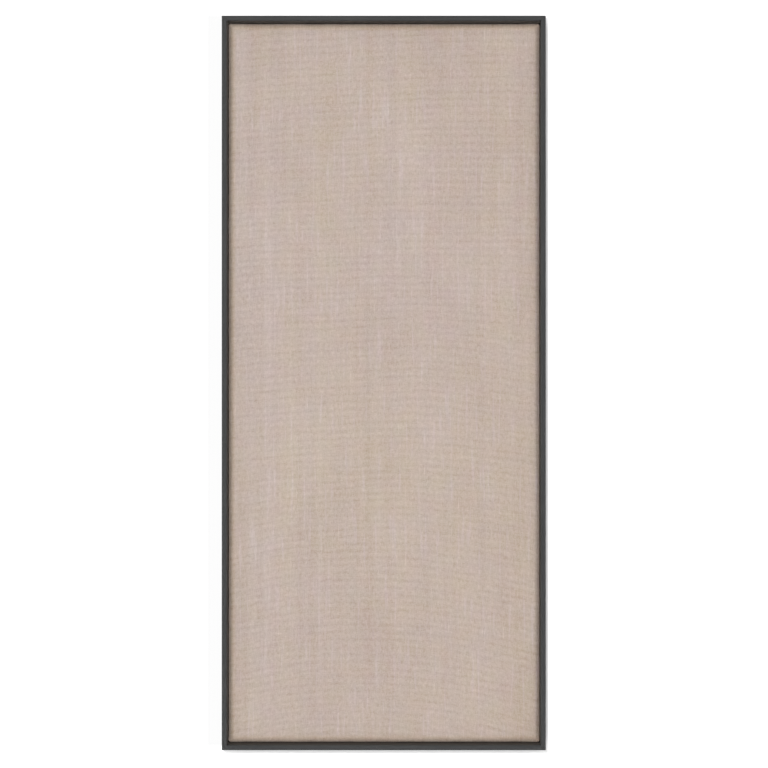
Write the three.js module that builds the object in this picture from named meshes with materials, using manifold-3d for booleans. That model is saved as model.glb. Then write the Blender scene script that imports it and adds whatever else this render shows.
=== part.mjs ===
// A tall framed pin board. A fabric-wrapped soft panel drops from the front into a mitred tray frame of
// four L-section rails, is screwed to it from behind, and a thin back board closes the rear.
// Millimetres. Seen from the front, X runs right and Z up, and the front faces -Y.
// The origin is the centre of the rear plane, where the board meets the wall.

import * as THREE from "three";
import { mergeVertices, toCreasedNormals } from "three/addons/utils/BufferGeometryUtils.js";
import Module from "manifold-3d";

const wasm = await Module();
wasm.setup();

// Overall size
const boardWidth = 450;
const boardHeight = 1020;
const boardDepth = 25;

// Clearances
const seatGap = 0.3; // under a piece that rests on another
const fitGap = 0.2; // round a screw, nail or plate in its hole
const mitreGap = 0.1; // the glue line between two rails
const panelGap = 0.5; // from the wrapped panel to the frame's inner wall
const backEdgeGap = 0.5; // from the back board's edge to its rebate
const overrun = 2; // how far a cutting tool reaches past the face that it opens

// Rail section: a thin wall round the panel, a ledge behind it, and a tongue that takes the screws
const wallWidth = 7;
const ledgeWidth = 13;
const tongueWidth = 12;
const tongueThickness = 4;
const arrisRadius = 0.8;
const rearChamfer = 0.5;

// Back board, let into a rebate behind the tongue
const backThickness = 3;

// Wrapped panel: a soft core and the fabric round its front, sides and rear margin
const coreThickness = 8;
const fabricThickness = 0.8;
const rollWidth = 9; // how far in from its edge the cloth's front starts to roll off
const rollDepth = 4; // how far behind its front the cloth is at that edge
const panelCornerRadius = 4;
const turnOverWidth = 30;

// Countersunk wood screws, all of one gauge
const shankRadius = 1.5;
const headRadius = 2.9;
const headHeight = 1.4;
const headRim = 0.2;
const tipLength = 2.2;
const crossReach = 1.5;
const crossWidth = 0.7;
const crossDepth = 1;
const panelScrewLength = 10;
const backScrewLength = 7;
const hangerScrewLength = 6;

// Rows of screws along a tongue: how many, and how far the outer ones stay from the rail's ends
const stilePanelScrews = 4;
const stilePanelScrewInset = 120;
const railPanelScrews = 2;
const railPanelScrewInset = 160;
const stileBackScrews = 4;
const stileBackScrewInset = 60;
const railBackScrews = 2;
const railBackScrewInset = 95;

// Keyhole hanger plates, let in flush, with a pocket behind each for the head of the wall screw
const hangerWidth = 14;
const hangerThickness = 1.5;
const hangerInset = 62;
const hangerWeb = 1.6;
const keyholeRadius = 4.5;
const keyholeSlotRadius = 2.25;
const keyholeTravel = 11;
const pocketRadius = 5;
const pocketDepth = 4;

// V-shaped nails across each mitre, driven from behind
const nailLeg = 6;
const nailThickness = 0.6;
const nailHeight = 5;
const nailSink = 0.3;
const nailMargin = 2.2;
const nailPitch = 8;
const nailsPerCorner = 2;

// How finely round shapes are faceted
const arrisSteps = 6;
const cornerSteps = 4;
const rollSteps = 6;
const screwSides = 12;
const plateSteps = 5;
const mergeTolerance = 1e-4;
const creaseAngle = Math.PI / 5;

// Places that follow from the sizes above, as depths in front of the rear plane
const landWidth = wallWidth + ledgeWidth;
const railWidth = landWidth + tongueWidth;
const rebateDepth = backThickness + seatGap;
const ledgeThickness = rebateDepth + tongueThickness;
const coverRear = ledgeThickness + seatGap;
const coreRear = coverRear + fabricThickness + seatGap;
const coreFront = coreRear + coreThickness;
const coverFront = coreFront + seatGap + fabricThickness;
const screwLine = landWidth + tongueWidth / 2;
const panelInset = wallWidth + panelGap;
const hangerScrewReach = keyholeTravel / 2 + keyholeRadius + hangerWeb + headRadius;
const hangerLength = 2 * (hangerScrewReach + headRadius + hangerWeb);
const hangerSeat = hangerThickness + seatGap;
const quarterTurn = Math.PI / 2;

// Colours and surfaces
const finishes = {
  stainedWood: { color: 0x45474a, roughness: 0.62, metalness: 0 },
  fabric: { color: 0xc3b3a8, roughness: 0.95, metalness: 0 },
  softboard: { color: 0xb8966c, roughness: 0.95, metalness: 0 },
  hardboard: { color: 0x8d6c4c, roughness: 0.7, metalness: 0 },
  zincSteel: { color: 0xb9bdc2, roughness: 0.35, metalness: 1 },
  bareSteel: { color: 0x8f9296, roughness: 0.45, metalness: 1 },
};

// The sides of the frame, each built as if it were the bottom one and turned about Y into its place.
// hangerEnd is the end, along the side's own X, that its keyhole plate is near and its slot points to.
const sides = [
  { name: "rail_bottom", corner: "bottom_right", turns: 0, isStile: false, hangerEnd: -1 },
  { name: "stile_left", corner: "bottom_left", turns: 1, isStile: true, hangerEnd: -1 },
  { name: "rail_top", corner: "top_left", turns: 2, isStile: false, hangerEnd: 1 },
  { name: "stile_right", corner: "top_right", turns: -1, isStile: true, hangerEnd: 1 },
];

function solidFrom(geometry) {
  const bare = geometry.clone();
  bare.deleteAttribute("normal");
  bare.deleteAttribute("uv");
  const merged = mergeVertices(bare, mergeTolerance);
  return new wasm.Manifold(
    new wasm.Mesh({
      numProp: 3,
      vertProperties: new Float32Array(merged.attributes.position.array),
      triVerts: new Uint32Array(merged.index.array),
    }),
  );
}

function geometryFrom(solid) {
  const mesh = solid.getMesh();
  const geometry = new THREE.BufferGeometry();
  geometry.setAttribute("position", new THREE.BufferAttribute(mesh.vertProperties, mesh.numProp));
  geometry.setIndex(new THREE.BufferAttribute(mesh.triVerts, 1));
  return toCreasedNormals(geometry, creaseAngle);
}

function cutFrom(geometry, tools) {
  let solid = solidFrom(geometry);
  for (const tool of tools) {
    solid = solid.subtract(solidFrom(tool));
  }
  return geometryFrom(solid);
}

function piece(name, geometry, finish) {
  const mesh = new THREE.Mesh(geometry, new THREE.MeshStandardMaterial(finishes[finish]));
  mesh.name = name;
  return mesh;
}

// Places spread evenly about the middle of a side, the outer ones a given inset from its ends
function spread(count, length, inset) {
  const reach = length / 2 - inset;
  return Array.from({ length: count }, (_, i) => reach * ((2 * i) / (count - 1) - 1));
}

function sideLength(side) {
  return side.isStile ? boardHeight : boardWidth;
}

function panelScrewPlaces(side) {
  const length = sideLength(side);
  return side.isStile
    ? spread(stilePanelScrews, length, stilePanelScrewInset)
    : spread(railPanelScrews, length, railPanelScrewInset);
}

function backScrewPlaces(side) {
  const length = sideLength(side);
  return side.isStile
    ? spread(stileBackScrews, length, stileBackScrewInset)
    : spread(railBackScrews, length, railBackScrewInset);
}

function hangerPlace(side) {
  return side.hangerEnd * (sideLength(side) / 2 - hangerInset);
}

// From a side's own frame, where X runs along it and Z inwards from its outer edge, to the board's
function sideMatrix(side) {
  const across = side.isStile ? boardWidth : boardHeight;
  const turn = new THREE.Matrix4().makeRotationY(side.turns * quarterTurn);
  return turn.multiply(new THREE.Matrix4().makeTranslation(0, 0, -across / 2));
}

// A flat outline extruded forwards from the rear plane, its Y pointing to the side's outer edge
function plateShape(shape, front, back) {
  const options = { depth: back - front, bevelEnabled: false, curveSegments: plateSteps };
  return new THREE.ExtrudeGeometry(shape, options).rotateX(-quarterTurn).translate(0, front, 0);
}

function stadium(radius, from, to) {
  const shape = new THREE.Shape();
  shape.absarc(to, 0, radius, -quarterTurn, quarterTurn, false);
  shape.absarc(from, 0, radius, quarterTurn, 3 * quarterTurn, false);
  shape.closePath();
  return shape;
}

function keyhole() {
  const meeting = Math.asin(keyholeSlotRadius / keyholeRadius);
  const hole = new THREE.Path();
  hole.absarc(-keyholeTravel / 2, 0, keyholeRadius, meeting, 2 * Math.PI - meeting, false);
  hole.absarc(keyholeTravel / 2, 0, keyholeSlotRadius, -quarterTurn, quarterTurn, false);
  hole.closePath();
  return hole;
}

// A revolved profile of [radius, depth] points, listed from its rear end forwards
function turned(profile) {
  const points = profile.map(([radius, depth]) => new THREE.Vector2(radius, -depth));
  return new THREE.LatheGeometry(points.reverse(), screwSides);
}

function drill(radius, from, to) {
  return turned([[0, from], [radius, from], [radius, to], [0, to]]);
}

function countersink(depth) {
  const radius = shankRadius + fitGap;
  return turned([
    [0, -overrun],
    [headRadius + fitGap, -overrun],
    [headRadius + fitGap, headRim],
    [radius, headHeight + fitGap],
    [radius, depth],
    [0, depth],
  ]);
}

function screwGeometry(length, hasCross) {
  const body = turned([
    [0, 0],
    [headRadius, 0],
    [headRadius, headRim],
    [shankRadius, headHeight],
    [shankRadius, length - tipLength],
    [0, length],
  ]);
  if (!hasCross) {
    return cutFrom(body, []);
  }
  const bar = new THREE.BoxGeometry(2 * crossReach, 2 * crossDepth, crossWidth);
  return cutFrom(body, [bar, bar.clone().rotateY(quarterTurn)]);
}

// A V-nail seen from behind is an angle, its corner on the mitre and one leg in each rail
function nailGeometry(margin) {
  const half = nailThickness / 2 + margin;
  const end = nailLeg + margin;
  const angle = new THREE.Shape();
  angle.moveTo(-half, -half);
  angle.lineTo(end, -half);
  angle.lineTo(end, half);
  angle.lineTo(half, half);
  angle.lineTo(half, end);
  angle.lineTo(-half, end);
  angle.closePath();
  const front = -nailSink - nailHeight - margin;
  return plateShape(angle, front, margin > 0 ? overrun : -nailSink);
}

// Where the corners of the nails lie, as distances from the two outer edges
function nailPlaces() {
  return Array.from({ length: nailsPerCorner }, (_, i) => nailMargin + nailLeg + i * nailPitch);
}

function nailSlots(length) {
  return nailPlaces().flatMap((place) => [
    nailGeometry(fitGap).translate(length / 2 - place, 0, place),
    nailGeometry(fitGap).rotateY(quarterTurn).translate(place - length / 2, 0, place),
  ]);
}

// The L section in a rail's own frame: X inwards from the outer edge, Y forwards as negative
function railSection() {
  const arrisDepth = -boardDepth + arrisRadius;
  const section = new THREE.Shape();
  section.moveTo(rearChamfer, 0);
  section.lineTo(0, -rearChamfer);
  section.lineTo(0, arrisDepth);
  section.absarc(arrisRadius, arrisDepth, arrisRadius, 2 * quarterTurn, 3 * quarterTurn, false);
  section.absarc(wallWidth - arrisRadius, arrisDepth, arrisRadius, -quarterTurn, 0, false);
  section.lineTo(wallWidth, -ledgeThickness);
  section.lineTo(railWidth, -ledgeThickness);
  section.lineTo(railWidth, -rebateDepth);
  section.lineTo(landWidth, -rebateDepth);
  section.lineTo(landWidth, 0);
  section.closePath();
  return section;
}

// The bare rail: each end is pulled back by the distance from the outer edge, which cuts the mitres
function mitredBar(length) {
  const options = { depth: length, bevelEnabled: false, curveSegments: arrisSteps };
  const bar = new THREE.ExtrudeGeometry(railSection(), options);
  bar.translate(0, 0, -length / 2).rotateY(-quarterTurn);
  const places = bar.attributes.position;
  for (let i = 0; i < places.count; i += 1) {
    const reach = length / 2 - places.getZ(i) - mitreGap * Math.SQRT1_2;
    places.setX(i, Math.sign(places.getX(i)) * reach);
  }
  return bar;
}

function hangerCuts(side) {
  const reach = hangerLength / 2 - hangerWidth / 2;
  const seat = plateShape(stadium(hangerWidth / 2 + fitGap, -reach, reach), -hangerSeat, overrun);
  const travel = keyholeTravel / 2;
  const pocket = stadium(pocketRadius, -travel, travel);
  const pilot = drill(shankRadius + fitGap, -overrun, hangerScrewLength + fitGap);
  const cuts = [
    seat,
    plateShape(pocket, -hangerSeat - pocketDepth, overrun),
    pilot.clone().translate(hangerScrewReach, 0, 0),
    pilot.clone().translate(-hangerScrewReach, 0, 0),
  ];
  return cuts.map((cut) => cut.translate(hangerPlace(side), 0, landWidth / 2));
}

function railGeometry(side) {
  const length = sideLength(side);
  const panelHole = countersink(tongueThickness + overrun).translate(0, -rebateDepth, 0);
  const backHole = drill(shankRadius + fitGap, 0, ledgeThickness + overrun);
  const cuts = [
    ...panelScrewPlaces(side).map((x) => panelHole.clone().translate(x, 0, screwLine)),
    ...backScrewPlaces(side).map((x) => backHole.clone().translate(x, 0, screwLine)),
    ...nailSlots(length),
    ...hangerCuts(side),
  ];
  return cutFrom(mitredBar(length), cuts);
}

function hangerGeometry() {
  const reach = hangerLength / 2 - hangerWidth / 2;
  const outline = stadium(hangerWidth / 2, -reach, reach);
  outline.holes.push(keyhole());
  const plate = plateShape(outline, -hangerThickness, 0);
  const hole = countersink(hangerThickness + overrun);
  return cutFrom(plate, [
    hole.clone().translate(hangerScrewReach, 0, 0),
    hole.clone().translate(-hangerScrewReach, 0, 0),
  ]);
}

function addHanger(group, side) {
  const plate = piece("hanger_plate_" + side.name, hangerGeometry(), "zincSteel");
  const screws = [-hangerScrewReach, hangerScrewReach].map((x, i) => {
    const name = "hanger_screw_" + side.name + "_" + (i + 1);
    const screw = piece(name, screwGeometry(hangerScrewLength, true), "zincSteel");
    screw.position.x = x;
    return screw;
  });
  const hanger = new THREE.Group();
  hanger.add(plate, ...screws);
  hanger.position.set(hangerPlace(side), 0, landWidth / 2);
  hanger.rotation.y = side.hangerEnd > 0 ? 0 : 2 * quarterTurn;
  group.add(hanger);
}

function addNails(group, side) {
  nailPlaces().forEach((place, i) => {
    const nail = piece("mitre_nail_" + side.corner + "_" + (i + 1), nailGeometry(0), "bareSteel");
    nail.position.set(sideLength(side) / 2 - place, 0, place);
    group.add(nail);
  });
}

function addScrews(group, side) {
  panelScrewPlaces(side).forEach((x, i) => {
    const name = "panel_screw_" + side.name + "_" + (i + 1);
    const screw = piece(name, screwGeometry(panelScrewLength, false), "zincSteel");
    screw.position.set(x, -rebateDepth, screwLine);
    group.add(screw);
  });
  backScrewPlaces(side).forEach((x, i) => {
    const name = "back_screw_" + side.name + "_" + (i + 1);
    const screw = piece(name, screwGeometry(backScrewLength, true), "zincSteel");
    screw.position.set(x, 0, screwLine);
    group.add(screw);
  });
}

function sideGroup(side) {
  const group = new THREE.Group();
  group.add(piece(side.name, railGeometry(side), "stainedWood"));
  addHanger(group, side);
  addNails(group, side);
  addScrews(group, side);
  group.applyMatrix4(sideMatrix(side));
  return group;
}

// The corners of a rounded rectangle at one depth, inset from the board's outer edges
function cornerPoints(inset, depth) {
  const reachX = boardWidth / 2 - inset - panelCornerRadius;
  const reachZ = boardHeight / 2 - inset - panelCornerRadius;
  const points = [];
  for (let step = 0; step <= cornerSteps; step += 1) {
    const turn = (step / cornerSteps) * quarterTurn;
    const x = reachX + panelCornerRadius * Math.cos(turn);
    const z = reachZ + panelCornerRadius * Math.sin(turn);
    points.push([x, -depth, z], [-x, -depth, z], [x, -depth, -z], [-x, -depth, -z]);
  }
  return points;
}

// A slab between two depths, with a flat rear and its front edge rolled off as under drawn cloth.
// Skin is how far it lies under the cloth's outer face.
function softSlab(front, rear, skin) {
  const width = rollWidth - skin;
  const drop = rollDepth - skin;
  const points = cornerPoints(panelInset + skin, rear);
  for (let step = 0; step <= rollSteps; step += 1) {
    const turn = (step / rollSteps) * quarterTurn;
    const inset = panelInset + skin + width * (1 - Math.cos(turn));
    points.push(...cornerPoints(inset, front - drop * (1 - Math.sin(turn))));
  }
  return geometryFrom(wasm.Manifold.hull(points));
}

// A plain box inset from the board's outer edges, between two depths
function slabBox(inset, front, rear) {
  const box = new THREE.BoxGeometry(boardWidth - 2 * inset, front - rear, boardHeight - 2 * inset);
  return box.translate(0, -(front + rear) / 2, 0);
}

// The same tool at each screw of a row on every side, in the board's own frame
function atScrews(places, tool) {
  return sides.flatMap((side) => {
    const matrix = sideMatrix(side);
    return places(side).map((x) => tool.clone().translate(x, 0, screwLine).applyMatrix4(matrix));
  });
}

function coreGeometry() {
  const slab = softSlab(coreFront, coreRear, fabricThickness + seatGap);
  const pilot = drill(shankRadius + fitGap, coreRear - overrun, rebateDepth + panelScrewLength + fitGap);
  return cutFrom(slab, atScrews(panelScrewPlaces, pilot));
}

// The fabric is a thin skin over the front and sides, turned over behind to a margin round a window
function coverGeometry() {
  const outer = softSlab(coverFront, coverRear, 0);
  const inner = softSlab(
    coverFront - fabricThickness,
    coverRear + fabricThickness,
    fabricThickness,
  );
  const through = coverRear + fabricThickness + seatGap;
  const window = slabBox(panelInset + turnOverWidth, through, coverRear - overrun);
  const hole = drill(shankRadius + fitGap, coverRear - overrun, through);
  return cutFrom(outer, [inner, window, ...atScrews(panelScrewPlaces, hole)]);
}

function backGeometry() {
  const slab = slabBox(landWidth + backEdgeGap, backThickness, 0);
  return cutFrom(slab, atScrews(backScrewPlaces, countersink(backThickness + overrun)));
}

const board = new THREE.Group();
for (const side of sides) {
  board.add(sideGroup(side));
}
board.add(piece("pin_core", coreGeometry(), "softboard"));
board.add(piece("fabric_cover", coverGeometry(), "fabric"));
board.add(piece("back_board", backGeometry(), "hardboard"));

export default board;
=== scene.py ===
# A tall framed pin board, dressed for rendering: a slubby woven fabric drawn over a soft panel,
# in a tray frame of charcoal-stained wood, with the fittings of its back.
# Lengths are metres. Seen from the front, X runs right and Z up, and the front faces -Y.

import math

import bmesh
import bpy
import numpy as np
from bpy.props import FloatProperty, FloatVectorProperty, IntProperty, PointerProperty
from bpy.types import Operator, Panel, PropertyGroup
from mathutils import Matrix, Vector, noise


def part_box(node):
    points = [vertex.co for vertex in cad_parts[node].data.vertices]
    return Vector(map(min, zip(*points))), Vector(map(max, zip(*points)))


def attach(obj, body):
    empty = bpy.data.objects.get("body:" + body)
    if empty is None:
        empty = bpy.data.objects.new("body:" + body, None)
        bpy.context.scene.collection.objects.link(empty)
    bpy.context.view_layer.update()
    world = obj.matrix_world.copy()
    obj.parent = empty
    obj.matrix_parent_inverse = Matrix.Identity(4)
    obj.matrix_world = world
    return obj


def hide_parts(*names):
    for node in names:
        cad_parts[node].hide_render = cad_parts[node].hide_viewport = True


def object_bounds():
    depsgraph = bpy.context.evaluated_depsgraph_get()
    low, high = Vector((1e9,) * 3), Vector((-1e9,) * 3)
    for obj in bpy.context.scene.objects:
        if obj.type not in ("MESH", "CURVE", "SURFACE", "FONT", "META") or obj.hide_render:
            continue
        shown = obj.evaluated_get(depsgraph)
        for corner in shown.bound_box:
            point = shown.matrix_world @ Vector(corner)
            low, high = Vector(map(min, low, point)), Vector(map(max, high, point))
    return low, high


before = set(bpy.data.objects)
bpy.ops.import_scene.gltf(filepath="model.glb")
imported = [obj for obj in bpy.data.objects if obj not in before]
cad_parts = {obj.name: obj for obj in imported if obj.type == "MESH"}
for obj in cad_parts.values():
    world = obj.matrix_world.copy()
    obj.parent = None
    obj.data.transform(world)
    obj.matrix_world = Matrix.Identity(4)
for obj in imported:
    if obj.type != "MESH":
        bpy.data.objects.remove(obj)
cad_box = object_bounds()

bl_info = {
    "name": "Framed pin board",
    "version": (1, 0, 0),
    "blender": (4, 5, 0),
    "location": "3D View > Sidebar > Pin board",
    "description": "Dresses the packed pin board in woven fabric, stained wood and metal",
    "category": "Object",
}

MM = 0.001
MICRON = MM * MM
QUARTER = math.pi / 2
SMALL_SHARE = 0.001  # Keeps a division by a share away from 0
BODY = "root"
CLOTH_MAP = "cloth_place"

RAILS = ("rail_bottom", "rail_top")
STILES = ("stile_left", "stile_right")
NODES = sorted(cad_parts)
HANGERS = [n for n in NODES if n.startswith("hanger_plate")]
SCREWS = [n for n in NODES if "_screw_" in n]
NAILS = [n for n in NODES if n.startswith("mitre_nail")]

BOARD_LOW, BOARD_HIGH = cad_box
PANEL_LOW, PANEL_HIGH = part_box("fabric_cover")
PLATE_LOW, PLATE_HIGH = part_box("hanger_plate_stile_left")

WALL_Y = -0.3 * MM
FLOOR_Z = -1.2
STAGE_REACH = 6.0
# How far the wall's opening stands off the board, by the side that a quarter lies on
OPENING_X = {-1: 26 * MM, 1: 2 * MM}
OPENING_Z = {-1: 4 * MM, 1: 11 * MM}
# How far each quarter's sun leans, which sets how wide the board's drop shadow is there
SUN_LEAN_X = {-1: -0.13, 1: 0.27}
SUN_LEAN_Z = {-1: -0.60, 1: 0.33}


def length_of(text, metres, help_text):
    """A property for a length, shown in the scene's unit."""
    return FloatProperty(name=text, description=help_text, default=metres, min=0, unit="LENGTH")


def colour_of(text, linear, help_text):
    """A property for a colour, in linear light."""
    return FloatVectorProperty(
        name=text, description=help_text, default=linear, min=0, max=1, size=3, subtype="COLOR"
    )


class PinboardCloth(PropertyGroup):
    """The fabric cover, its staples and its weave."""

    cool_yarn: colour_of("Cool yarn", (0.509, 0.415, 0.382), "Greige of the cooler streaks")
    warm_yarn: colour_of("Warm yarn", (0.5135, 0.4215, 0.344), "Greige of the warmer streaks")
    # Painted light: this warmer yarn stands in for the warm light that the tray's walls throw onto
    # the cloth's rolled edges
    painted_bounce_yarn: colour_of("Edge yarn", (0.516, 0.409, 0.330), "Where the panel's edges have tanned")
    warp_pitch: length_of("Warp pitch", 0.82 * MM, "From one upright thread to the next")
    weft_pitch: length_of("Weft pitch", 0.74 * MM, "From one level thread to the next")
    band_pitch: length_of("Band pitch", 10.15 * MM, "From one band of denser weft to the next")
    weft_bow: length_of("Weft bow", 13 * MM, "How far the weft drops towards the sides")
    thickness: length_of("Thickness", 0.6 * MM, "Thickness of the cloth")
    roll_width: length_of("Roll width", 9.0 * MM, "How far in from its edge the cloth rolls off")
    roll_depth: length_of("Roll depth", 4.0 * MM, "How far down the cloth rolls off")
    turn_over: length_of("Turn-over", 30 * MM, "Width of the cloth behind the core")
    grid: length_of("Grid", 5.5 * MM, "Size of the mesh's squares in the middle of the panel")
    staple_pitch: length_of("Staple pitch", 46 * MM, "From one staple to the next")


class PinboardWood(PropertyGroup):
    """The stained frame and the two boards that it holds."""

    stain: colour_of("Stain", (0.0280, 0.0289, 0.0292), "Charcoal stain on the frame")
    pale_grain: colour_of("Pale grain", (0.0430, 0.0431, 0.0429), "Grain that takes less stain")
    # Painted light: this lighter, browner stain for the inside of the tray also stands in for the
    # warm light that the cloth throws onto the walls
    inner_stain_and_bounce: colour_of("Inner stain", (0.0555, 0.0490, 0.0425), "Thinner stain in the tray")
    bare_wood: colour_of("Bare wood", (0.20, 0.17, 0.14), "Wood that a knock has bared")
    hardboard: colour_of("Hardboard", (0.255, 0.142, 0.072), "Brown of the back board")
    softboard: colour_of("Softboard", (0.44, 0.30, 0.16), "Tan of the pressed fibre core")


class PinboardMetal(PropertyGroup):
    """The screws, plates, nails and staples."""

    zinc: colour_of("Zinc", (0.60, 0.61, 0.62), "Zinc plating on the screws and hangers")
    steel: colour_of("Bare steel", (0.34, 0.33, 0.32), "Steel of the nails and staples")
    thread_pitch: length_of("Thread pitch", 1.3 * MM, "From one turn of a thread to the next")
    plate_edge: length_of("Plate edge", 0.18 * MM, "Rounding of a stamped plate's edge")
    seed: IntProperty(name="Seed", description="Picks how each screw is turned", default=7, min=0)


class PinboardStage(PropertyGroup):
    """The wall, the floor, the light and the camera."""

    wall: colour_of("Wall", (0.86, 0.86, 0.86), "Wall and floor")
    camera_gap: length_of("Camera gap", 1.160, "From the board's front to the camera")
    camera_side: length_of("Camera side", 0.055, "How far right of the board's middle it stands")
    sky: FloatProperty(name="Sky", description="Strength of the even light", default=0.98, min=0)
    key: FloatProperty(
        name="Key", description="Power of the soft light", default=28.0, min=0, unit="POWER"
    )
    wall_sun: FloatProperty(
        name="Wall sun", description="Light that only the wall gets", default=2.8, min=0
    )


class Wire:
    """A shader socket that takes part in sums, so that 1 - mask adds a Math node."""

    def __init__(self, finish, socket):
        self.finish = finish
        self.socket = socket

    def other(self, name):
        """Another output of the same node."""
        return Wire(self.finish, self.socket.node.outputs[name])

    def __add__(self, value):
        return self.finish.maths("ADD", self, value)

    def __sub__(self, value):
        return self.finish.maths("SUBTRACT", self, value)

    def __rsub__(self, value):
        return self.finish.maths("SUBTRACT", value, self)

    def __mul__(self, value):
        return self.finish.maths("MULTIPLY", self, value)

    def __truediv__(self, value):
        return self.finish.maths("DIVIDE", self, value)

    def __gt__(self, value):
        return self.finish.maths("GREATER_THAN", self, value)

    __radd__ = __add__
    __rmul__ = __mul__


class Finish:
    """One procedural material, made node by node."""

    def __init__(self, name):
        self.material = bpy.data.materials.new(name)
        self.material.use_nodes = True
        self.tree = self.material.node_tree
        self.tree.nodes.clear()

    def add(self, kind, settings, sockets, output=0):
        """A node of that type: its settings first, then its sockets' values or links."""
        node = self.tree.nodes.new(kind)
        for name, value in settings.items():
            setattr(node, name, value)
        for name, value in sockets.items():
            if isinstance(value, Wire):
                self.tree.links.new(value.socket, node.inputs[name])
            else:
                node.inputs[name].default_value = value
        return Wire(self, node.outputs[output]) if node.outputs else None

    def maths(self, operation, *values):
        """A Math node on sockets and numbers."""
        return self.add("ShaderNodeMath", {"operation": operation}, dict(enumerate(values)))

    def vector(self, x, y, z=0):
        """A place or a colour from three values."""
        return self.add("ShaderNodeCombineXYZ", {}, {"X": x, "Y": y, "Z": z})

    def scaled(self, vector, factor):
        """A place or a colour with all its parts times the same factor."""
        return self.add(
            "ShaderNodeVectorMath", {"operation": "SCALE"}, {"Vector": vector, "Scale": factor}
        )

    def millimetres(self, place):
        """The three values of a place in metres, in millimetres."""
        x = self.add("ShaderNodeSeparateXYZ", {}, {"Vector": self.scaled(place, 1 / MM)})
        return x, x.other("Y"), x.other("Z")

    def place(self):
        """The place on the board, as three values in millimetres."""
        return self.millimetres(self.add("ShaderNodeTexCoord", {}, {}, "Object"))

    def mix(self, share, first, second):
        """A colour between two, by a share from 0 to 1."""
        return self.add(
            "ShaderNodeMix", {"data_type": "RGBA"}, {0: share, 6: first, 7: second}, 2
        )

    def cloud(self, vector, detail=2.0, roughness=0.5):
        """Soft noise about 0, from about -0.5 to 0.5."""
        found = self.add(
            "ShaderNodeTexNoise",
            {"noise_dimensions": "3D"},
            {"Vector": vector, "Scale": 1.0, "Detail": detail, "Roughness": roughness},
        )
        return found - 0.5

    def rise(self, value, low, high):
        """0 below low and 1 above high, and smooth between them."""
        return self.add(
            "ShaderNodeMapRange",
            {"interpolation_type": "SMOOTHSTEP"},
            {"Value": value, "From Min": low, "From Max": high},
        )

    def surface(self, colour, roughness, height, depth, **constants):
        """The shader itself. Height is in the unit that depth gives in metres."""
        relief = {"Height": height, "Distance": depth, "Strength": 1.0}
        bump = self.add("ShaderNodeBump", {}, relief)
        fixed = {name.replace("_", " "): value for name, value in constants.items()}
        sockets = {"Base Color": colour, "Roughness": roughness, "Normal": bump}
        shader = self.add("ShaderNodeBsdfPrincipled", {}, {**sockets, **fixed})
        self.add("ShaderNodeOutputMaterial", {}, {"Surface": shader})
        return self.material


def rgba(colour):
    """A property's colour as a socket takes it."""
    return (*colour, 1.0)


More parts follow.
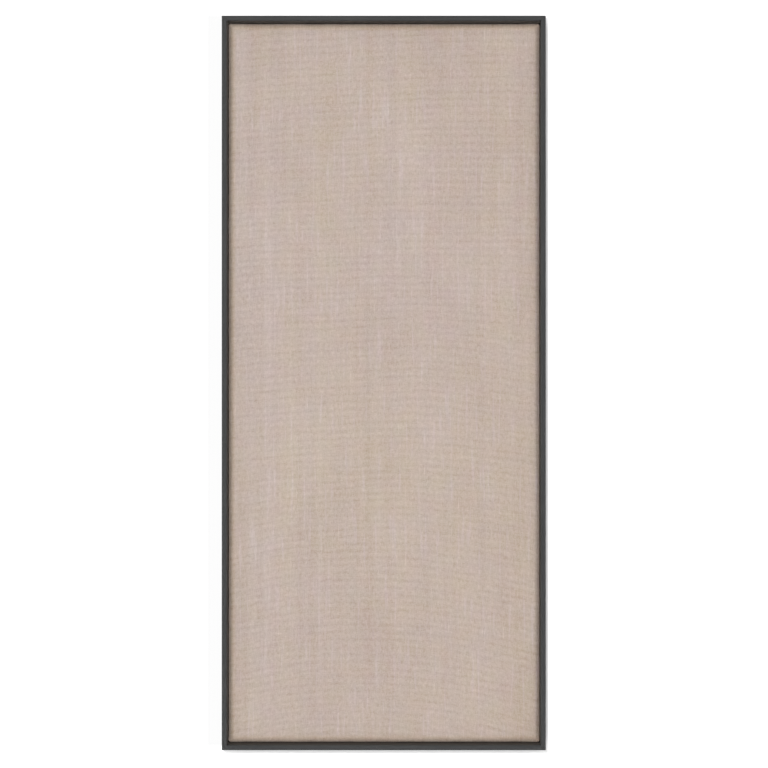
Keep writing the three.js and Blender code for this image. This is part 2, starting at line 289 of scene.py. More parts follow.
def woven_cloth(cloth):
    """Plain weave of uneven, bowed yarn, with slubs, streaks and bands, and painted light and
    shade at its edges.
    """
    finish = Finish("woven_cloth")
    cloud, rise, vector = finish.cloud, finish.rise, finish.vector
    place = finish.add("ShaderNodeUVMap", {"uv_map": CLOTH_MAP}, {})
    across, up, _ = finish.millimetres(place)

    def patches(wide, tall, seed):
        """Noise over the panel, in patches that many millimetres wide and tall."""
        return cloud(vector(across / wide, up / tall, seed), 1)

    # The weft drops towards the sides, more so lower down, and all threads wander a little
    half_width, half_height, deepening, skewing = 200, 500, 0.0017, 0.0001
    bow = (across * across) * ((cloth.weft_bow / MM) * (1 - deepening * up) / half_width**2)
    column = across + 5 * patches(240, 420, 3)
    row = up + bow - skewing * across * up + 20 * patches(260, 330, 8)

    def yarns(wide, tall, seed, detail=1, roughness=0.5):
        """Noise along the threads, in patches that many millimetres wide and tall."""
        return cloud(vector(column / wide, row / tall, seed), detail, roughness)

    wander = 1.1
    warp_count = (column + wander * yarns(2.3, 11, 31)) / (cloth.warp_pitch / MM)
    weft_count = (row + wander * yarns(11, 2.3, 32)) / (cloth.weft_pitch / MM)
    warp_number = finish.maths("FLOOR", warp_count)
    weft_number = finish.maths("FLOOR", weft_count)

    def roundness(count, number):
        """1 along a thread's middle and 0 at its edges."""
        from_middle = 2 * (count - number) - 1
        return 1 - from_middle * from_middle

    def over(count, number):
        """1 where a thread passes over the crossing one, and 0 where it passes under."""
        turn = math.pi * (count + number - 0.5)
        return 0.5 + 0.5 * finish.maths("COSINE", turn)

    # Neighbouring threads lie more than one patch of noise apart, so each has its own tone
    warp_tone = cloud(vector(warp_number * 3.31, row / 7.5, 1))
    weft_tone = cloud(vector(column / 4.5, weft_number * 3.71, 2))
    warp_slub = rise(yarns(2.4, 45, 5), 0.17, 0.31)
    weft_slub = rise(cloud(vector(column / 22, weft_number * 2.9, 6), 1), 0.15, 0.25)
    slub_swell = 0.5
    warp_height = roundness(warp_count, warp_number) * (1 - over(weft_count, warp_number))
    weft_height = roundness(weft_count, weft_number) * over(warp_count, weft_number)
    warp_height = warp_height * (1 + slub_swell * warp_slub)
    weft_height = weft_height * (1 + slub_swell * weft_slub)
    height = finish.maths("MAXIMUM", warp_height, weft_height)
    weft_shows = weft_height > warp_height

    # What makes the cloth lighter or darker, from single threads to the whole panel
    thread_tone = finish.add(
        "ShaderNodeMix", {}, {"Factor": weft_shows, "A": 0.66 * warp_tone, "B": 0.46 * weft_tone}
    )
    # Painted shade where the threads dip between one another, and painted light on their crowns
    painted_weave_shading = 0.16 * (height - 0.62)
    pale_slubs = 0.14 * warp_slub
    dark_slubs = 0.05 * weft_slub
    lint = 0.29 * yarns(1.5, 1.5, 10) + 0.22 * yarns(4.8, 4.8, 18)
    streaks = 0.125 * yarns(10, 1.45, 11)
    stripes = 0.15 * yarns(1.8, 20, 12, 2)
    strokes = rise(yarns(4.2, 85, 29), 0.07, 0.22) - 0.05
    dashes = 0.09 * yarns(34, 4.5, 20) + 0.05 * yarns(18, 3.2, 33, 0)
    columns = 0.21 * yarns(14, 1100, 123, 4, 0.46)
    rows = 0.075 * yarns(400, 14, 17, 5, 0.62)
    band_row = row + 3.5 * yarns(14, 7, 19)
    wave = finish.maths("SINE", (2 * math.pi * MM / cloth.band_pitch) * band_row)
    band_strength = 0.7 + 0.6 * rise(yarns(18, 8, 14, 2), -0.15, 0.15)
    bands = 0.0257 * band_strength * wave * (1 - 0.23 * wave)
    mottle = 0.15 * patches(90, 140, 345) + 0.065 * patches(24, 28, 16)
    # Painted shade: the cloth darkens a little towards the right and towards its top and bottom, a
    # painted fall-off of the light
    from_middle = up / half_height
    shade = 0.000025 * across + 0.031 * from_middle * from_middle - 0.0075
    change = thread_tone + painted_weave_shading + pale_slubs - dark_slubs + lint + streaks + stripes
    change = change + 0.075 * strokes + dashes
    change = change + columns + rows + bands + mottle - shade

    # Paler streaks are cooler, and so are some patches
    tall = yarns(24, 800, 1265, 2)
    patch = 1.1 * patches(140, 260, 1477) + 1.15 * patches(38, 30, 23)
    # Warmer towards the lower right and cooler towards the upper left
    warmth_to_lower_right = 0.00068 * across - 0.00025 * up
    cool = 0.5 + 1.2 * columns + 0.6 * strokes + tall + patch - warmth_to_lower_right
    cool = finish.maths("MAXIMUM", finish.maths("MINIMUM", cool, 1), 0)
    colour = finish.mix(cool, rgba(cloth.warm_yarn), rgba(cloth.cool_yarn))

    # The rolled edges carry painted light and shade: a warm tint on the left and the ends for
    # light thrown back by the tray's walls, painted shade over the roll-off and more down the
    # right side, and painted light at the outermost side edges and in the corners
    from_left = PANEL_HIGH.x / MM + across
    from_right = PANEL_HIGH.x / MM - across
    from_sides = finish.maths("MINIMUM", from_left, from_right)
    from_ends = PANEL_HIGH.z / MM - finish.maths("ABSOLUTE", up)
    from_warm_edges = finish.maths("MINIMUM", from_left, from_ends)
    from_edge = finish.maths("MINIMUM", from_warm_edges, from_right)
    # Painted warm bounce light from the tray's walls, on the left and the ends
    painted_warm_bounce = rise(from_warm_edges, 12, 7) * (0.4 + 0.6 * rise(from_warm_edges, 0.5, 4))
    colour = finish.mix(painted_warm_bounce, colour, rgba(cloth.painted_bounce_yarn))
    # Painted shade over the roll-off, where the frame's walls shade the cloth, deeper down the
    # right side away from the light
    painted_edge_shade = 0.085 * rise(from_edge, 8, 3.5) * rise(from_edge, 0.8, 2.6)
    painted_edge_shade = painted_edge_shade + 0.085 * rise(from_right, 9, 3)
    painted_edge_shade = painted_edge_shade + 0.06 * (rise(from_left, 9, 6) - rise(from_left, 4, 2))
    # Painted light on the outermost side edges and in the panel's corners, lifting the shade there
    painted_edge_light = rise(from_sides, 2.6, 0.6)
    corner = rise(finish.maths("MAXIMUM", from_sides, from_ends), 6.5, 1.5)
    colour = finish.scaled(colour, 1 - painted_edge_shade + 0.36 * painted_edge_light + 0.4 * corner)

    # Red against green, a little in patches, and less in the pale columns
    rosy = 0.0000084 * across + 0.029 * patches(27, 26, 24)
    rosy = rosy + 0.012 * yarns(15, 400, 25) - 0.03 * columns
    level = 0.43 * change
    raised = vector(level + rosy, level - 0.5 * rosy, level)
    lightened = finish.add("ShaderNodeVectorMath", {}, {0: colour, 1: raised})
    fuzz = cloud(vector(across / 0.3, up / 0.3, 30), 2, 0.7)
    return finish.surface(
        lightened,
        roughness=0.86 + 0.2 * fuzz,
        height=height + 0.35 * fuzz,
        depth=0.10 * MM,
        Sheen_Weight=0.12,
        Sheen_Roughness=0.5,
        Specular_IOR_Level=0.25,
    )


def stained_wood(wood, runs_up):
    """Charcoal-stained wood, its grain along one axis, with open pores and a few knocks."""
    finish = Finish("stained_wood_upright" if runs_up else "stained_wood_level")
    cloud = finish.cloud
    x, y, z = finish.place()
    along, across = (z, x) if runs_up else (x, z)

    def grain(length, width, seed, detail):
        """Noise drawn out along the grain, in millimetres."""
        return cloud(finish.vector(along / length, across / width + seed, y / width), detail, 0.6)

    fibre = grain(48, 1.0, 0, 4)
    broad = grain(150, 8, 5, 2)
    pores = finish.rise(grain(7, 0.32, 9, 1), 0.13, 0.24)
    stain = finish.mix(
        finish.rise(fibre + 0.7 * broad, -0.25, 0.3), rgba(wood.stain), rgba(wood.pale_grain)
    )
    # The rails are 7 mm wide in front, and what lies further in is the inside of the tray
    from_side = BOARD_HIGH.x / MM - finish.maths("ABSOLUTE", x)
    from_end = BOARD_HIGH.z / MM - finish.maths("ABSOLUTE", z)
    outer = finish.maths("MINIMUM", from_side, from_end)
    front = y - BOARD_LOW.y / MM
    inside = finish.rise(outer, 6.5, 6.9) * finish.rise(front, 1, 5)
    # Painted light: the tray's walls take the lighter, browner stain for the cloth's warm bounce
    # light, and lighter still in the tray's inner corners, lifting their shade
    corner = inside * finish.rise(finish.maths("MAXIMUM", from_side, from_end), 13, 8)
    inner_stain_and_bounce = finish.scaled(tuple(wood.inner_stain_and_bounce), 1 + 0.8 * corner)
    stain = finish.mix(inside, stain, inner_stain_and_bounce)
    from_joint = finish.maths("ABSOLUTE", from_side - from_end)
    joint = (1 - finish.rise(from_joint, 0.1, 0.6)) * (1 - inside)
    from_arris = finish.maths("SQRT", outer * outer + front * front)
    edge = 1 - finish.rise(from_arris, 0.4, 1.5)
    knock = finish.rise(cloud(finish.vector(x / 4.2, y / 4.2, z / 4.2), 2), 0.19, 0.24)
    tone = 1 - 0.35 * pores + 0.35 * grain(30, 3, 14, 3)
    coloured = finish.mix(0.16 * knock, finish.scaled(stain, tone), rgba(wood.bare_wood))
    return finish.surface(
        finish.scaled(coloured, 1 - 0.3 * edge - 0.35 * joint),
        roughness=0.5 + 0.22 * fibre + 0.12 * pores,
        height=0.5 * fibre - pores,
        depth=0.05 * MM,
        Specular_IOR_Level=0.42,
    )


def pressed_fibre(name, colour, patch, contrast, roughness, lattice):
    """Pressed wood fibre: short tangled fibres, specks and the lattice of the press's screen."""
    finish = Finish(name)
    cloud = finish.cloud
    x, y, z = finish.place()
    patches = cloud(finish.vector(x / patch, y / patch, z / patch), 4, 0.6)
    level = cloud(finish.vector(x / 2.6, y / 0.5, z / 0.4), 2)
    upright = cloud(finish.vector(x / 0.4, y / 0.5, z / 2.6 + 40), 2)
    speck = finish.rise(cloud(finish.vector(x / 0.9, y / 0.9, z / 0.9), 1), 0.18, 0.26)
    screen_pitch = 1.7
    screen_turn = 2 * math.pi / screen_pitch
    weave = finish.maths("SINE", screen_turn * x)
    weave = lattice * (weave * finish.maths("SINE", screen_turn * z))
    tone = 1 + contrast * (patches + level + upright) - 0.3 * speck + 0.08 * weave
    return finish.surface(
        finish.scaled(tuple(colour), tone),
        roughness=roughness + 0.25 * patches,
        height=level + upright + 0.4 * weave,
        depth=0.08 * MM,
        Specular_IOR_Level=0.35,
    )


def plated_metal(name, colour, roughness, tarnish):
    """Metal with fine rolling marks, small stains and a few bright rubs."""
    finish = Finish(name)
    cloud = finish.cloud
    x, y, z = finish.place()
    marks = cloud(finish.vector(x / 0.12, y / 2.5, z / 2.5), 3, 0.7)
    stains = cloud(finish.vector(x / 2.4, y / 2.4, z / 2.4), 3)
    tone = 1 + 0.25 * marks + 0.5 * stains
    warm = finish.rise(stains, 0.0, 0.28)
    brown = (0.30, 0.20, 0.12)
    plated = finish.mix(tarnish * warm, rgba(colour), rgba(brown))
    return finish.surface(
        finish.scaled(plated, tone),
        roughness=roughness + 0.3 * marks + 0.35 * stains,
        height=marks,
        depth=0.012 * MM,
        Metallic=1.0,
    )


def plain_matt(name, colour):
    """The stage's own finish, even and matt."""
    finish = Finish(name)
    grain = finish.cloud(finish.add("ShaderNodeTexCoord", {}, {}, "Object"), 1)
    toned = finish.scaled(tuple(colour), 1 + 0.01 * grain)
    return finish.surface(toned, roughness=0.9, height=grain, depth=0.0, Specular_IOR_Level=0.0)


def new_mesh(name, points, faces, finish, sharp_from=40):
    """A mesh with outward faces, smooth but for the edges sharper than that many degrees."""
    mesh = bpy.data.meshes.new(name)
    mesh.from_pydata([tuple(p) for p in points], [], faces)
    shape = bmesh.new()
    shape.from_mesh(mesh)
    bmesh.ops.recalc_face_normals(shape, faces=shape.faces)
    shape.to_mesh(mesh)
    shape.free()
    return finished(mesh, finish, sharp_from)


def finished(mesh, finish, sharp_from):
    """A mesh with its finish, smooth but for the edges sharper than that many degrees."""
    mesh.polygons.foreach_set("use_smooth", [True] * len(mesh.polygons))
    mesh.set_sharp_from_angle(angle=math.radians(sharp_from))
    mesh.materials.append(finish)
    mesh.update()
    return mesh


def add_piece(name, mesh, place=None, replaced=()):
    """Puts a mesh on the board as one piece, in place of the CAD nodes that it stands for."""
    # An operator that is run again makes its piece anew
    old = bpy.data.objects.get(name)
    if old:
        bpy.data.objects.remove(old)
    piece = bpy.data.objects.new(name, mesh)
    bpy.context.scene.collection.objects.link(piece)
    if place is not None:
        piece.matrix_world = place
    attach(piece, BODY)
    if replaced:
        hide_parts(*replaced)
    return piece


def dress(nodes, finish):
    """Gives CAD nodes a finish and leaves their shape alone."""
    for name in nodes:
        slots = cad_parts[name].data.materials
        slots.clear()
        slots.append(finish)


class Shell:
    """Gathers quads that share their corners, each corner with its place on the flat cloth."""

    def __init__(self):
        self.numbers = {}
        self.points = []
        self.faces = []
        self.places = []

    def corner(self, point):
        """The number of a point, the same for all that lie in one place."""
        key = tuple(round(v / (0.1 * MICRON)) for v in point)
        if key not in self.numbers:
            self.numbers[key] = len(self.points)
            self.points.append(point)
        return self.numbers[key]

    def grid(self, first, second, point, place):
        """Quads between two rows of lines, by functions for the point and its flat place."""
        for a, next_a in zip(first, first[1:]):
            for b, next_b in zip(second, second[1:]):
                ring = ((a, b), (next_a, b), (next_a, next_b), (a, next_b))
                self.faces.append([self.corner(point(*p)) for p in ring])
                self.places.extend(place(*p) for p in ring)


def grid_lines(half, margin, step):
    """Lines across the panel, even in its middle and closer near its edges."""
    from_edge = [0, 0.14, 0.55, 1.2, 2.1, 3.2, 4.5, 5.9, 7.4, 9, 10.5, 12.5, 16, 20, 25]
    inner = half - margin
    middle = np.linspace(0, inner, round(inner / step) + 1)
    one_side = [*middle, *(half - e * MM for e in reversed(from_edge))]
    return [-v for v in reversed(one_side[1:])] + one_side


def sharp_wrap(half_x, half_z, front, rear, cloth):
    """The cloth folded round a sharp box: front, sides and the margin behind."""
    shell = Shell()
    margin = cloth.turn_over
    xs = grid_lines(half_x, margin, cloth.grid)
    zs = grid_lines(half_z, margin, cloth.grid)
    depth = rear - front
    ys = [front + d * depth for d in (0, 0.2, 0.45, 0.7, 0.87)]
    ys += [rear - d * MM for d in (0.85, 0.5, 0.2, 0)]
    outer_x, outer_z = half_x + depth, half_z + depth
    shell.grid(xs, zs, lambda x, z: (x, front, z), lambda x, z: (x, z))
    shell.grid(zs, ys, lambda z, y: (-half_x, y, z), lambda z, y: (-half_x - (y - front), z))
    shell.grid(ys, zs, lambda y, z: (half_x, y, z), lambda y, z: (half_x + (y - front), z))
    shell.grid(xs, ys, lambda x, y: (x, y, half_z), lambda x, y: (x, half_z + (y - front)))
    shell.grid(ys, xs, lambda y, x: (x, y, -half_z), lambda y, x: (x, -half_z - (y - front)))

    # The margin behind: both sides in full, and the ends between them
    inner_x, inner_z = half_x - margin, half_z - margin
    left = [x for x in xs if x < MICRON - inner_x]
    right = [x for x in xs if x > inner_x - MICRON]
    low = [z for z in zs if z < MICRON - inner_z]
    high = [z for z in zs if z > inner_z - MICRON]
    between = [x for x in xs if left[-1] <= x <= right[0]]

    def behind(z, x):
        return (x, rear, z)

    shell.grid(zs, left, behind, lambda z, x: (-outer_x - half_x - x, z))
    shell.grid(zs, right, behind, lambda z, x: (outer_x + half_x - x, z))
    shell.grid(low, between, behind, lambda z, x: (x, -outer_z - half_z - z))
    shell.grid(high, between, behind, lambda z, x: (x, outer_z + half_z - z))
    return shell


def rough(seed, size, x, z):
    """Smooth noise from -1 to 1 over the panel, in patches of that size in metres."""
    return np.array([noise.noise((a / size, seed, c / size)) for a, c in zip(x, z)])


def soften(points, half_x, half_z, front, rear, cloth):
    """Rounds the sharp wrap's edges and gives it the small unevenness of real cloth."""
    x, y, z = np.array(points, float).T
    in_x, in_z = half_x - abs(x), half_z - abs(z)
    from_front, from_rear = y - front, rear - y
    depth = rear - front
    margin = cloth.turn_over
    by_corner = np.exp(-((np.hypot(in_x, in_z) / (14 * MM)) ** 2))

    # Seen from the front, the panel's square corners are rounded to this radius
    corner = 3.5 * MM
    share_x = np.clip(1 - in_x / corner, 0, 1)
    share_z = np.clip(1 - in_z / corner, 0, 1)
    reach = np.maximum(np.hypot(share_x, share_z), SMALL_SHARE)
    square = np.maximum(share_x, share_z)
    side_x, side_z = share_x / reach, share_z / reach
    from_edge = np.where(square > 0, corner * (1 - square), np.minimum(in_x, in_z))

    # The front face rolls off towards its edges, and the sides begin where it ends
    uneven = 1 + 0.16 * rough(0.0, 36 * MM, x, z)
    width = cloth.roll_width * uneven * (1 - 0.25 * by_corner)
    drop = cloth.roll_depth * uneven * (1 - 0.15 * by_corner)
    inner = np.clip(1 - from_edge / width, 0, 1)
    rolled = drop * (1 - np.sqrt(1 - inner * inner))
    out_y = front + rolled + from_front * (1 - drop / depth)

    # The rear edges are folded sharper
    fold = 1.2 * MM
    near_x = np.clip(1 - from_edge / fold, 0, 1)
    near_y = np.clip(1 - from_rear / fold, 0, 1)
    bend = np.maximum(near_x, near_y) / np.maximum(np.hypot(near_x, near_y), SMALL_SHARE)
    pull_in = np.where(near_y > 0, fold * near_x * (1 - bend), 0)
    out_y = np.where(near_y > 0, rear - fold * (1 - near_y * bend), out_y)

    # The sides swell a little, and the front dips where the staples pull
    at_edge = np.clip(1 - from_edge / corner, 0, 1)
    swell = (0.16 * rough(5.0, 24 * MM, x, z) + 0.10 * by_corner + 0.24) * MM
    outward = swell * at_edge - pull_in
    staple_turn = 2 * math.pi / cloth.staple_pitch
    pull_reach = 9 * MM
    pull_x = np.cos(z * staple_turn) * np.exp(-in_x / pull_reach)
    pull_z = np.cos(x * staple_turn) * np.exp(-in_z / pull_reach)
    lower = (0.10 * rough(9.0, 90 * MM, x, z) + 0.10 + 0.07 * (pull_x + pull_z)) * MM
    out_y = out_y + lower * from_rear / depth

    # Behind, the cloth lies closer to the core, except at its doubled corners
    behind = from_rear < MICRON
    doubled = np.maximum(in_x, in_z) < margin
    out_y = out_y - np.where(doubled, 0, 0.15 * MM) * behind

    # The cut edge behind frays a little
    on_cut = 0.1 * MM
    cut_x = behind & (abs(in_x - margin) < on_cut) & (in_z > margin - on_cut)
    cut_z = behind & (abs(in_z - margin) < on_cut) & (in_x > margin - on_cut)
    frayed = 0.7 * MM * rough(2.0, 6 * MM, x, z)
    out_x = abs(x) + square_shift(share_x, side_x, square, corner) + side_x * outward
    out_z = abs(z) + square_shift(share_z, side_z, square, corner) + side_z * outward
    out_x = out_x - np.where(cut_x, frayed, 0)
    out_z = out_z - np.where(cut_z, frayed, 0)
    return np.column_stack((np.sign(x) * out_x, out_y, np.sign(z) * out_z))


def square_shift(share, side, square, corner):
    """How far a place in a square corner moves along one axis when the corner is rounded."""
    return corner * (side * square - share)


def cover_mesh(cloth, finish):
    """The whole cover, with a map that holds each corner's place on the flat cloth in metres."""
    half_x, half_z = PANEL_HIGH.x, PANEL_HIGH.z
    front, rear = PANEL_LOW.y, PANEL_HIGH.y
    shell = sharp_wrap(half_x, half_z, front, rear, cloth)
    points = soften(shell.points, half_x, half_z, front, rear, cloth)
    mesh = bpy.data.meshes.new("fabric_wrap")
    mesh.from_pydata(points.tolist(), [], shell.faces)
    layer = mesh.uv_layers.new(name=CLOTH_MAP)
    layer.data.foreach_set("uv", np.array(shell.places, np.float32).ravel())
    return finished(mesh, finish, sharp_from=60)


def staple(crown, leg, wire, width):
    """One staple: its crown along X, its legs towards -Y, swept from a flat wire."""
    bend = 0.9 * MM
    half = crown / 2
    # Each stop of the sweep is its place along X and Y, and how far the wire has turned
    path = [(-half, -leg, -QUARTER), (-half, -leg + MM, -QUARTER), (-half, -bend, -QUARTER)]
    for i in range(1, 4):
        turn = -QUARTER + i * QUARTER / 4
        x = -half + bend - bend * math.cos(turn + QUARTER)
        path.append((x, -bend + bend * math.sin(turn + QUARTER), turn))
    path.append((-half + bend, 0, 0))
    path = path + [(-x, y, -turn) for x, y, turn in reversed(path)]
    points, faces = [], []
    for i, (x, y, turn) in enumerate(path):
        thin = 0.25 if i in (0, len(path) - 1) else 1.0
        lift_x, lift_y = math.sin(turn) * wire / 2 * thin, math.cos(turn) * wire / 2 * thin
        for side, edge in ((1, -1), (1, 1), (-1, 1), (-1, -1)):
            points.append((x + side * lift_x, y + side * lift_y, edge * width / 2))
    for start in range(0, len(points) - 4, 4):
        for j in range(4):
            a, b = start + j, start + (j + 1) % 4
            faces.append((a, b, b + 4, a + 4))
    last = len(points) - 1
    faces += [(0, 1, 2, 3), (last, last - 1, last - 2, last - 3)]
    return points, faces


def staple_places(half, pitch):
    """Places along a side, evenly spaced about its middle and clear of the corners."""
    clear = 30 * MM
    count = 2 * int((half - clear) / pitch) + 1
    return [(i - count // 2) * pitch for i in range(count)]


def add_staples(cloth, metal):
    """A row of staples on each side's turn-over, on the back of the core."""
    finish = plated_metal("staple_steel", metal.steel, roughness=0.38, tarnish=0.3)
    crown, leg, wire, width = 10 * MM, 6 * MM, 0.5 * MM, 0.8 * MM
    inset, pressed_in, most_lean = 26.5 * MM, 0.1 * MM, 0.09
    shape, faces = staple(crown, leg, wire, width)
    face = PANEL_HIGH.y - pressed_in + wire / 2
    half_x, half_z = PANEL_HIGH.x, PANEL_HIGH.z
    for turns, side in enumerate(("bottom", "left", "top", "right")):
        half, reach = (half_z, half_x) if turns % 2 else (half_x, half_z)
        points, all_faces = [], []
        for i, place in enumerate(staple_places(half, cloth.staple_pitch)):
            lean = most_lean * noise.noise((i * 3.7, turns * 5.1, 0.5))
            matrix = Matrix.Rotation(turns * QUARTER, 4, "Y")
            matrix = matrix @ Matrix.Translation((place, face, inset - reach))
            matrix = matrix @ Matrix.Rotation(lean, 4, "Y")
            start = len(points)
            points += [matrix @ Vector(p) for p in shape]
            all_faces += [[start + v for v in f] for f in faces]
        name = f"staples_{side}"
        add_piece(name, new_mesh(name, points, all_faces, finish))


def cross_angles(reach, half_width):
    """Angles round a screw head that meet every corner of its cross recess."""
    along = (reach, 0.72 * reach, 0.45 * reach)
    first = [0, 0.5 * math.atan2(half_width, reach)]
    first += [math.atan2(half_width, a) for a in along]
    quadrant = first + [math.pi / 4] + [QUARTER - a for a in reversed(first[1:])]
    return [q * QUARTER + a for q in range(4) for a in quadrant]


def cross_radius(angle, reach, half_width):
    """Distance from a screw's axis to the edge of its cross recess."""
    least = 1e-9
    c, s = max(abs(math.cos(angle)), least), max(abs(math.sin(angle)), least)
    return max(min(reach / c, half_width / s), min(half_width / c, reach / s))


def screw_mesh(length, metal, finish):
    """A countersunk screw with a cross recess and a cut thread, head at 0 and tip at -Y."""
    head, core, ridge = 2.9 * MM, 1.08 * MM, 0.42 * MM
    reach, half_width = 1.5 * MM, 0.36 * MM
    neck, tip = 1.55 * MM, 2.2 * MM
    angles = cross_angles(reach, half_width)
    cross = [cross_radius(a, reach, half_width) for a in angles]

    def even(radius):
        """A round ring of that radius."""
        return [radius] * len(angles)

    # The rings of the recess, the head and its cone, each with its depth
    rings = [
        ([0.42 * r for r in cross], 1.05 * MM),
        ([0.9 * r for r in cross], 0.35 * MM),
        (cross, 0),
        (even(head - 0.12 * MM), 0),
        (even(head - 0.03 * MM), 0.04 * MM),
        (even(head), 0.14 * MM),
        (even(head), 0.22 * MM),
        (even(core + 0.25 * MM), 1.38 * MM),
        (even(core), neck),
    ]

    # The thread rises over its first millimetre, and the tip narrows to a point
    point, rings_per_turn, crest_width, narrowing = 0.15 * MM, 6, 0.6, 0.7
    step = metal.thread_pitch / rings_per_turn
    count = int((length - neck - point) / step)
    for i in range(1, count + 1):
        depth = neck + i * step
        begun = min(1, (depth - neck) / MM)
        left = min(1, (length - depth) / tip)
        ring = []
        for angle in angles:
            phase = (depth / metal.thread_pitch - angle / (2 * math.pi)) % 1
            crest = max(0, 1 - abs(2 * phase - 1) / crest_width)
            ring.append((core + ridge * crest * begun) * left**narrowing)
        rings.append((ring, depth))
    recess_depth = 1.2 * MM
    points = [(0, -recess_depth, 0)]
    for ring, depth in rings:
        points += [(r * math.cos(a), -depth, r * math.sin(a)) for r, a in zip(ring, angles)]
    points.append((0, -length, 0))
    n, last = len(angles), len(points) - 1
    faces = [(0, 1 + j, 1 + (j + 1) % n) for j in range(n)]
    for i in range(len(rings) - 1):
        a, b = 1 + i * n, 1 + (i + 1) * n
        faces += [(a + j, a + (j + 1) % n, b + (j + 1) % n, b + j) for j in range(n)]
    faces += [(last, last - n + j, last - n + (j + 1) % n) for j in range(n)]
    return new_mesh("screw", points, faces, finish, sharp_from=50)


def arc(x, z, radius, start, end, steps):
    """Points of an arc in the plate's own plane."""
    turns = np.linspace(start, end, steps + 1)
    return [(x + radius * math.cos(t), z + radius * math.sin(t)) for t in turns]


def stadium(half, radius):
    """The plate's outline, straight along X with round ends."""
    right = arc(half, 0, radius, -QUARTER, QUARTER, steps=14)
    return right + arc(-half, 0, radius, QUARTER, 3 * QUARTER, steps=14)


def keyhole(travel, radius, slot):
    """The outline of the keyhole: a round hole that runs into a slot towards +X."""
    meeting = math.asin(slot / radius)
    wide = arc(-travel / 2, 0, radius, meeting, 2 * math.pi - meeting, steps=26)
    return wide + arc(travel / 2, 0, slot, -QUARTER, QUARTER, steps=12)


def plate_mesh(metal, finish):
    """A stamped keyhole plate, its slot towards +X, its rear face at 0 and its front at -Y."""
    across, long = sorted((PLATE_HIGH.x - PLATE_LOW.x, PLATE_HIGH.z - PLATE_LOW.z))
    thick = PLATE_HIGH.y - PLATE_LOW.y
    edge = metal.plate_edge
    half = (long - across) / 2
    travel, radius, slot = 11 * MM, 4.5 * MM, 2.25 * MM
    screw_reach, sink, bore = 14.5 * MM, 3.05 * MM, 1.7 * MM
    # Each rim is a row of rings, each with its depth below the rear face
    steps = ((edge, 0), (0.3 * edge, 0.3 * edge), (0, edge), (0, thick - edge), (edge, thick))
    outline = [(stadium(half, across / 2 - e), d) for e, d in steps]
    hole = [(keyhole(travel, radius + e, slot + e), d) for e, d in steps]
    sides = 24
    turn = 2 * math.pi * (sides - 1) / sides
    cone = ((sink, 0), (sink - 0.05 * MM, 0.2 * MM), (bore, thick - 0.1 * MM), (bore, thick))
    sinks = [
        [(arc(x, 0, r, 0, turn, sides - 1), d) for r, d in cone]
        for x in (-screw_reach, screw_reach)
    ]
    shape = bmesh.new()
    caps = ([], [])
    for rim in (outline, hole, *sinks):
        loops = [[shape.verts.new((x, -d, z)) for x, z in ring] for ring, d in rim]
        count = len(loops[0])
        for upper, lower in zip(loops, loops[1:]):
            for i in range(count):
                j = (i + 1) % count
                shape.faces.new((upper[i], upper[j], lower[j], lower[i]))
        for cap, loop in zip(caps, (loops[0], loops[-1])):
            cap += [shape.edges.get(ends) for ends in zip(loop, loop[1:] + loop[:1])]
    for cap in caps:
        bmesh.ops.triangle_fill(shape, use_beauty=True, use_dissolve=False, edges=cap)
    bmesh.ops.recalc_face_normals(shape, faces=shape.faces)
    mesh = bpy.data.meshes.new("keyhole_plate")
    shape.to_mesh(mesh)
    shape.free()
    return finished(mesh, finish, sharp_from=30)


def rear_place(node, turn):
    """The middle of a node's rear face, turned about the axis from front to back."""
    low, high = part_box(node)
    centre = (low + high) / 2
    place = Matrix.Translation((centre.x, high.y, centre.z))
    return place @ Matrix.Rotation(turn, 4, "Y")


class PINBOARD_OT_fabric(Operator):
    """Wraps the panel in its woven cover"""

    bl_idname = "pinboard.fabric"
    bl_label = "Fabric cover"

    def execute(self, context):
        cloth = context.scene.pinboard_cloth
        mesh = cover_mesh(cloth, woven_cloth(cloth))
        cover = add_piece("fabric_wrap", mesh, replaced=["fabric_cover"])
        layer = cover.modifiers.new("cloth_thickness", "SOLIDIFY")
        layer.thickness = cloth.thickness
        layer.offset = -1
        layer.use_even_offset = True
        depth = PANEL_HIGH.y - PANEL_LOW.y
        rolled = QUARTER * (cloth.roll_width + cloth.roll_depth) / 2
        saved = cloth.roll_width + cloth.roll_depth - rolled
        spare = 2 * (depth + cloth.turn_over - saved)
        flat = (2 * PANEL_HIGH.x + spare, 2 * PANEL_HIGH.z + spare)
        return {"FINISHED"}


class PINBOARD_OT_staples(Operator):
    """Staples the cover's turn-over to the back of the core"""

    bl_idname = "pinboard.staples"
    bl_label = "Staples"

    def execute(self, context):
        add_staples(context.scene.pinboard_cloth, context.scene.pinboard_metal)
        return {"FINISHED"}


class PINBOARD_OT_frame(Operator):
    """Stains the four mitred rails, each with its grain along it"""

    bl_idname = "pinboard.frame"
    bl_label = "Frame"

    def execute(self, context):
        wood = context.scene.pinboard_wood
        dress(RAILS, stained_wood(wood, runs_up=False))
        dress(STILES, stained_wood(wood, runs_up=True))
        return {"FINISHED"}


class PINBOARD_OT_core(Operator):
    """Gives the pin core its pressed fibre"""

    bl_idname = "pinboard.core"
    bl_label = "Pin core"

    def execute(self, context):
        colour = context.scene.pinboard_wood.softboard
        finish = pressed_fibre(
            "softboard", colour, patch=3.0, contrast=0.5, roughness=0.9, lattice=0.0
        )
        dress(["pin_core"], finish)
        return {"FINISHED"}


